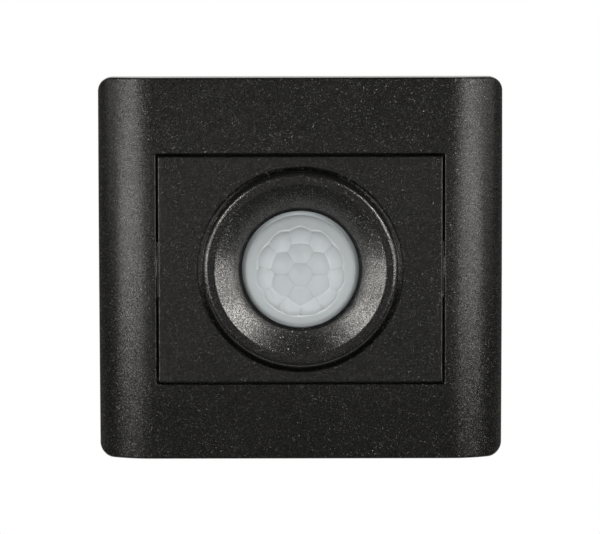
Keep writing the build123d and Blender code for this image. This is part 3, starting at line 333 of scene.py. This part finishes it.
# Dials
# Two dials moulded in ivory nylon, each on its trimmer. A screwdriver turns them through the cover once the
# panel is off.
give(moulded("dial_nylon", (0.8, 0.77, 0.68), 0.4, 0.3 * MM, 0.006 * MM), "time_dial", "lux_dial")


# Centre panel
# Moulded in graphite plastic full of fine metal flake, and snapped into the frame. Each flake lies at its own
# angle, so that a few glint and most don't. The dish and the round of the rim have a painted highlight in
# their colour, and the throat by the lens hole and the foot of the rim have painted shade.
flake_size, dark_flake, bright_flake = 0.13 * MM, 0.45, 1.75
upright_share, upright_lean, glinting_lean, glint = 0.9, 0.11, 0.39, 0.6
skin_size, skin_depth, tone_cloud = 0.22 * MM, 0.003 * MM, 12 * MM
hole_radius, throat_radius, dish_radius = 12 * MM, 13.9 * MM, 19.2 * MM
land_radius, rim_radius, foot_radius = 20.8 * MM, 22.15 * MM, 23.2 * MM


def from_lens_axis(finish):
    """How far from the axis of the lens a point lies."""
    flat = finish.vector("MULTIPLY", {0: finish.place, 1: (1, 0, 1)})
    return finish.vector("LENGTH", {0: flat}, "Value")


def painted_highlight_and_shade(finish, rings):
    """How much the plastic's colour is scaled, ring by ring about the lens: a gain over 1 is a painted
    highlight and one under 1 is painted shade. A ring has an inner and an outer radius, a gain, and how
    softly it ends.
    """
    reach = from_lens_axis(finish)
    painted_gain = 1
    for inner, outer, gain, soft in rings:
        outside_inner = finish.step(reach, inner - soft, inner + soft)
        inside_outer = finish.step(reach, outer + soft, outer - soft)
        painted_gain = outside_inner * inside_outer * (gain - 1) + painted_gain
    return painted_gain


def flaked(name, flake, roughness, rings=()):
    """Plastic full of metal flake. Each flake has its own tone, and a tenth of them lean over and glint."""
    finish = Finish(bpy.data.materials.new(name))
    cell_sockets = {"Vector": finish.place, "Scale": 1 / flake_size}
    cells = finish.node("ShaderNodeTexVoronoi", {}, cell_sockets, "Color")
    chance = finish.node("ShaderNodeSeparateColor", {}, {0: cells})
    glinting = finish.step(chance, upright_share - 0.01, upright_share + 0.01)
    sides = {0: chance.output("Green") - 0.5, 2: chance.output("Blue") - 0.5}
    lean = finish.node("ShaderNodeCombineXYZ", {}, sides)
    lean = finish.vector("SCALE", {0: lean, "Scale": upright_lean + glinting * glinting_lean})
    true = finish.node("ShaderNodeNewGeometry").output("Normal")
    leant = finish.vector("NORMALIZE", {0: finish.vector("ADD", {0: true, 1: lean})})
    skin = finish.noise(skin_size, 3, 0.6)
    clouds = finish.noise(tone_cloud)
    # The rings paint highlight and shade into the colour about the lens.
    painted_gain = painted_highlight_and_shade(finish, rings) if rings else 1
    tone = chance.maths("FRACT", chance * 7)
    bright = finish.blend(tone, shade(flake, dark_flake), shade(flake, bright_flake))
    return finish.material({
        "Base Color": finish.vector("SCALE", {0: bright, "Scale": painted_gain + glinting * glint}),
        "Metallic": 0.95,
        "IOR": 1.38,
        "Roughness": (skin - 0.5) * 0.2 + (clouds - 0.5) * 0.06 + roughness,
        "Normal": finish.relief(skin, skin_depth, leant),
    })


# Painted light in the panel's colour: painted shade by the lens hole, painted highlights over the dish and
# the round of the rim, and painted shade at the foot.
panel_painted_light_rings = (
    (hole_radius, throat_radius, 0.4, 0.4 * MM),
    (throat_radius, dish_radius, 1.75, 0.1 * MM),
    (land_radius, rim_radius, 1.7, 0.1 * MM),
    (rim_radius, foot_radius, 0.22, 0.1 * MM),
)
graphite = flaked("panel_graphite", (0.0605, 0.0589, 0.0562), 0.24, panel_painted_light_rings)
give(graphite, "center_panel")


# Foot of the rim
# The rim runs out into the face of the panel in a soft hollow foot. It is moulded in one with the panel, in
# the same graphite plastic, so the ring here has its root a little inside the panel.
rim_height = 1.7 * MM
foot_height, foot_start, foot_root, foot_steps = 0.36 * MM, 22.05 * MM, 0.05 * MM, 12


def hoop(radius, y, sides):
    """Points round a circle about the axis of the lens, from the top."""
    turns = [2 * math.pi * side / sides for side in range(sides)]
    return [(radius * math.sin(turn), y, radius * math.cos(turn)) for turn in turns]


def band(first, second, sides):
    """Faces between two hoops, whose points start at these places in the list."""
    faces = []
    for side in range(sides):
        after = (side + 1) % sides
        faces.append((first + side, first + after, second + after, second + side))
    return faces


def meshed(name, points, faces):
    """A smooth mesh of these points and faces."""
    mesh = bpy.data.meshes.new(name)
    mesh.from_pydata(points, [], faces)
    mesh.shade_smooth()
    return mesh


def placed(name, data):
    """Puts a mesh, a lamp or a camera into the scene."""
    made = bpy.data.objects.new(name, data)
    bpy.context.scene.collection.objects.link(made)
    return made


def foot_mesh(sides=256):
    """A closed ring: a steep side against the rim, a hollow slope outside, and a root in the panel."""
    panel_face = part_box("center_panel")[0].y + rim_height
    foot_inner = foot_start - foot_root
    section = [(foot_inner, panel_face + foot_root), (foot_inner, panel_face - foot_height)]
    for step in range(foot_steps + 1):
        share = step / foot_steps
        rise = foot_height * (1 - share) ** 2
        section.append((foot_start + (foot_radius - foot_start) * share, panel_face - rise))
    section.append((foot_radius, panel_face + foot_root))
    points = []
    faces = []
    for row, (radius, y) in enumerate(section):
        points += hoop(radius, y, sides)
        faces += band(row * sides, (row + 1) % len(section) * sides, sides)
    mesh = meshed("rim_foot", points, faces)
    mesh.set_sharp_from_angle(angle=math.radians(30))
    return mesh


rim_foot = placed("rim_foot", foot_mesh())
# The panel's finish paints the foot dark, as painted shade at the base of the rim.
rim_foot.data.materials.append(graphite)
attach(rim_foot, "panel")


# Lens retainer
# A flat ring behind the flange of the lens, moulded in plain black plastic. It is held by pins on the back of
# the panel, which are melted over it.
give(moulded("retainer_plastic", (0.02, 0.02, 0.021)), "lens_retainer")


# Lens
# The milky polyethylene dome that gathers the heat of a passing body. Its face is moulded in pillowed
# lenslets, one in the middle, six round it and eleven outside them, a little sunk inside a plain skirt.
lens_low, lens_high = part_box("fresnel_lens")
lens_radius = 12.25 * MM
lens_wall = 0.8 * MM
lens_middle = lens_low.y + lens_radius
flange_radius = (lens_high.x - lens_low.x) / 2
flange_front = lens_high.y - 0.9 * MM
flange_round = 0.15 * MM
neck_depth, neck_slope = 0.5 * MM, 0.25 * MM

# Each ring of lenslets has a count, and the degrees from the front to their middles, its start and its end.
# Widths and blends along the face are degrees too, and a pillow sinks by the square of them.
rings = ((1, 0.0, 0.0, 13.0), (6, 25.0, 13.0, 34.5), (11, 43.8, 34.5, 59.5))
lenslet_sink, lenslet_tilt, lower_tilt = 0.03 * MM, 0.03 * MM, 0.05 * MM
pillow = 0.0025 * MM
groove_depth, groove_width = 0.06 * MM, 3.2
lenslet_blend = 0.4

# The skirt begins in a zigzag: degrees from the top round the lens, and degrees from the front.
skirt_edge = (
    (0, 61.2), (14.8, 55.2), (25.8, 60.5), (49, 55.7), (53, 57.1), (77, 57.7),
    (83.8, 54.3), (104, 59.5), (117.5, 52.9), (128, 57.9), (152.5, 58.5), (180, 56.8),
)
skirt_sink, skirt_blend = 0.5 * MM, 0.8
skirt_rise_start, skirt_rise_end = 64, 88


def direction(polar, azimuth):
    """The point on a ball of radius 1 at polar degrees from the front and azimuth degrees from the top."""
    polar, azimuth = math.radians(polar), math.radians(azimuth)
    return (math.sin(polar) * math.sin(azimuth), -math.cos(polar), math.sin(polar) * math.cos(azimuth))


def smooth(value, low, high):
    """0 below low, 1 above high and a smooth rise between."""
    share = min(max((value - low) / (high - low), 0), 1)
    return share * share * (3 - 2 * share)


lenslets = []
for count, polar, start, end in rings:
    for place in range(count):
        lenslets.append((start, end, direction(polar, place * 360 / count)))


def skirt_start(azimuth):
    """How many degrees from the front the skirt begins."""
    azimuth = abs((azimuth + 180) % 360 - 180)
    for (low, near), (high, far) in zip(skirt_edge, skirt_edge[1:]):
        if azimuth <= high:
            return near + (far - near) * (azimuth - low) / (high - low)
    return skirt_edge[-1][1]


def lens_sink(polar, azimuth):
    """How far the lens face lies under the dome's full radius."""
    edge = skirt_start(azimuth)
    skirt = smooth(polar, edge - skirt_blend, edge + skirt_blend)
    level = skirt_sink * (1 - smooth(polar, skirt_rise_start, skirt_rise_end))
    if skirt == 1:
        return level
    here = direction(polar, azimuth)
    near = []
    for start, end, middle in lenslets:
        apart = math.degrees(math.acos(min(1, sum(a * b for a, b in zip(here, middle)))))
        tilt = (lenslet_tilt + lower_tilt * (1 - middle[2])) * max((polar - start) / (end - start), 0)
        near.append((apart, lenslet_sink + tilt + pillow * apart * apart))
    near.sort()
    nearest, second = near[0][0], near[1][0]
    groove = groove_depth * max(1 - (second - nearest) / groove_width, 0) ** 2
    sunk = 0
    weight = 0
    for apart, sink in near[:3]:
        share = math.exp((nearest - apart) / lenslet_blend)
        sunk += share * sink
        weight += share
    return (sunk / weight + groove) * (1 - skirt) + level * skirt


def lens_mesh(rows=120, sides=400, lowest=88.0):
    """The dome as a closed shell: the cut face outside, the flange, and a plain ball inside."""
    points = [(0, lens_middle - lens_radius + lens_sink(0, 0), 0)]
    for row in range(1, rows + 1):
        polar = lowest * row / rows
        for side in range(sides):
            azimuth = 360 * side / sides
            radius = lens_radius - lens_sink(polar, azimuth)
            x, y, z = direction(polar, azimuth)
            points.append((x * radius, lens_middle + y * radius, z * radius))
    inner = lens_radius - lens_wall
    neck = lens_radius - neck_depth
    outline = [
        (lens_radius, lens_middle),
        (neck, flange_front - neck_slope),
        (neck + neck_slope, flange_front),
        (flange_radius - flange_round, flange_front),
        (flange_radius, flange_front + flange_round),
        (flange_radius, lens_high.y),
        (inner, lens_high.y),
        (inner, lens_middle),
    ]
    for polar in range(85, 0, -5):
        turn = math.radians(polar)
        outline.append((inner * math.sin(turn), lens_middle - inner * math.cos(turn)))
    for radius, y in outline:
        points += hoop(radius, y, sides)
    points.append((0, lens_middle - inner, 0))
    last = 1 + (rows + len(outline) - 1) * sides
    faces = [(0, 1 + (side + 1) % sides, 1 + side) for side in range(sides)]
    for first in range(1, last, sides):
        faces += band(first, first + sides, sides)
    faces += [(len(points) - 1, last + side, last + (side + 1) % sides) for side in range(sides)]
    return meshed("lens_dome", points, faces)


# The milk is painted lighter towards the edge of the dome, as painted light that lifts its shaded sides.
painted_edge_light_from, painted_edge_light_to = 3 * MM, 11.5 * MM
milk = Finish(bpy.data.materials.new("lens_polyethylene"))
milk_clouds = milk.noise(4 * MM, 3)
milk_skin = milk.noise(0.25 * MM)
milk_middle = milk.ramp(milk_clouds, (0.3, (0.533, 0.566, 0.576)), (0.7, (0.558, 0.591, 0.601)))
milk_painted_lighter_edge = milk.ramp(milk_clouds, (0.3, (0.69, 0.733, 0.745)), (0.7, (0.72, 0.763, 0.775)))
lens = placed("lens_dome", lens_mesh())
lens.data.materials.append(milk.material({
    "Base Color": milk.blend(milk.step(from_lens_axis(milk), painted_edge_light_from, painted_edge_light_to), milk_middle, milk_painted_lighter_edge),
    "Roughness": 0.42 + (milk_skin - 0.5) * 0.1,
    "Normal": milk.relief(milk_skin, 0.002 * MM),
    "Subsurface Weight": 1.0,
    "Subsurface Radius": (1.0, 1.0, 1.0),
    "Subsurface Scale": 0.4 * MM,
}))
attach(lens, "panel")
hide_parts("fresnel_lens")


# Face plate
# The same graphite plastic as the panel, moulded in one piece and snapped on to the frame by four hooks. Its
# two sides roll back to the wall and its front hides the frame.
give(flaked("plate_graphite", (0.0565, 0.055, 0.0525), 0.26), "face_plate")


# Floor
# A plain pale table top. The switch hangs well above its front edge, where a wall would be, and the picture
# ends above it. Seen by the camera or in a mirror it is nearly as white as the room.
floor_side, floor_front, floor_back, floor_level = 2.0, -0.05, 2.9, -0.6
floor_white = 0.7
floor_corners = [
    (-floor_side, floor_front, floor_level),
    (floor_side, floor_front, floor_level),
    (floor_side, floor_back, floor_level),
    (-floor_side, floor_back, floor_level),
]


def rays(finish, *kinds):
    """1 for a ray of one of these kinds and 0 for any other."""
    path = finish.node("ShaderNodeLightPath")
    return sum(path.output(f"Is {kind} Ray") for kind in kinds)


top = Finish(bpy.data.materials.new("floor_laminate"))
top_tone = top.ramp(top.noise(60 * MM, 3), (0.3, (0.88, 0.88, 0.88)), (0.7, (0.92, 0.92, 0.92)))
laid = top.node("ShaderNodeBsdfPrincipled", {}, {"Base Color": top_tone, "Roughness": 0.6})
white = top.node("ShaderNodeEmission", {}, {"Color": (1, 1, 1), "Strength": 1.0})
seen = rays(top, "Camera", "Transmission", "Glossy")
whitened = top.node("ShaderNodeMixShader", {}, {0: seen * floor_white, 1: laid, 2: white})
floor_mesh = bpy.data.meshes.new("floor")
floor_mesh.from_pydata(floor_corners, [], [(0, 1, 2, 3)])
floor_mesh.materials.append(top.end("ShaderNodeOutputMaterial", whitened))
floor = placed("floor", floor_mesh)


# Room
# Plain white behind the switch, for the camera and for rays that pass through or mirror backwards. In front
# it is dark to mirrored rays. To matt faces it is a soft grey all round, brighter from below.
front_dark, soft_grey, glow_below = 0.04, 0.26, 0.5
world = bpy.data.worlds.new("studio")
bpy.context.scene.world = world
room = Finish(world)
heading = room.node("ShaderNodeSeparateXYZ", {}, {0: room.place.output("Generated")})
behind = room.step(heading.output("Y"), 0.0, 0.55)
below = room.step(heading.output("Z"), 0.2, -0.7)
mirrored = rays(room, "Glossy")
backdrop = rays(room, "Camera", "Transmission") + mirrored * behind
front = room.node("ShaderNodeMix", {}, {0: mirrored, 2: soft_grey + below * glow_below, 3: front_dark})
strength = room.node("ShaderNodeMix", {}, {0: backdrop, 2: front, 3: 1.0})
glow = room.node("ShaderNodeBackground", {}, {"Color": (1, 1, 1), "Strength": strength})
room.end("ShaderNodeOutputWorld", glow)


# Lamps
# Soft boxes in pairs, left and right of the camera. They give the bright bands down the rolled sides of the
# plate and the lit flanks of the dish, and two behind outline the housing.
def softbox(name, azimuth, elevation, distance, width, height, strength):
    """A soft lamp at these degrees round from the front and up, aimed at the switch."""
    light = bpy.data.lights.new(name, "AREA")
    light.shape = "RECTANGLE"
    light.size = width
    light.size_y = height
    light.energy = strength * math.pi * width * height
    held = placed(name, light)
    across, up = math.radians(azimuth), math.radians(elevation)
    out = distance * math.cos(up)
    held.location = (out * math.sin(across), -out * math.cos(across), distance * math.sin(up))
    held.rotation_euler = (math.radians(90) - up, 0, across)
    held.visible_camera = False


# Each lamp has a name, degrees round from the front and up, a distance, a width, a height and a strength.
lamps = (
    ("low_strip_left", -37, -3.5, 1.1, 0.8, 0.13, 5.4),
    ("low_strip_right", 37, -3.5, 1.1, 0.8, 0.13, 4.6),
    ("wide_strip_left", -56, 5, 1.1, 1.073, 0.212, 1.2),
    ("wide_strip_right", 56, 5, 1.1, 1.073, 0.212, 1.5),
    ("key_left", -35, 18, 1.1, 0.192, 0.25, 9.4),
    ("key_right", 35, 18, 1.1, 0.192, 0.25, 11.0),
    ("wing_left", -27, 25, 1.1, 0.154, 0.154, 3.0),
    ("wing_right", 27, 25, 1.1, 0.154, 0.154, 4.5),
    ("fill", -8, -4, 1.6, 0.9, 0.3, 0.35),
    ("back_left", -145, 32, 1.2, 0.5, 0.5, 2.2),
    ("back_right", 145, 32, 1.2, 0.5, 0.5, 2.2),
)
for lamp in lamps:
    softbox(*lamp)


# Camera
# Straight on and a little above, far enough back that the sides hardly converge. Its shift puts the middle of
# the switch where the photograph has it, in pixels from the middle across and from the top down.
photo_width, photo_height = 600, 534
middle_across, middle_down = 0.2, 266.0
focal_pixels = 3571
sensor_width = 36
camera_distance = 0.809
camera_elevation, camera_roll = math.radians(5.5), math.radians(0.11)
camera_data = bpy.data.cameras.new("camera")
camera_data.sensor_width = sensor_width
camera_data.lens = focal_pixels / photo_width * sensor_width
camera_data.shift_x = middle_across / photo_width
camera_data.shift_y = (middle_down - photo_height / 2) / photo_width
camera = placed("camera", camera_data)
camera_back = camera_distance * math.cos(camera_elevation)
camera.location = (0, -camera_back, camera_distance * math.sin(camera_elevation))
camera.rotation_euler = (math.radians(90) - camera_elevation, camera_roll, 0)
bpy.context.scene.camera = camera
bpy.context.scene.view_settings.view_transform = "Standard"
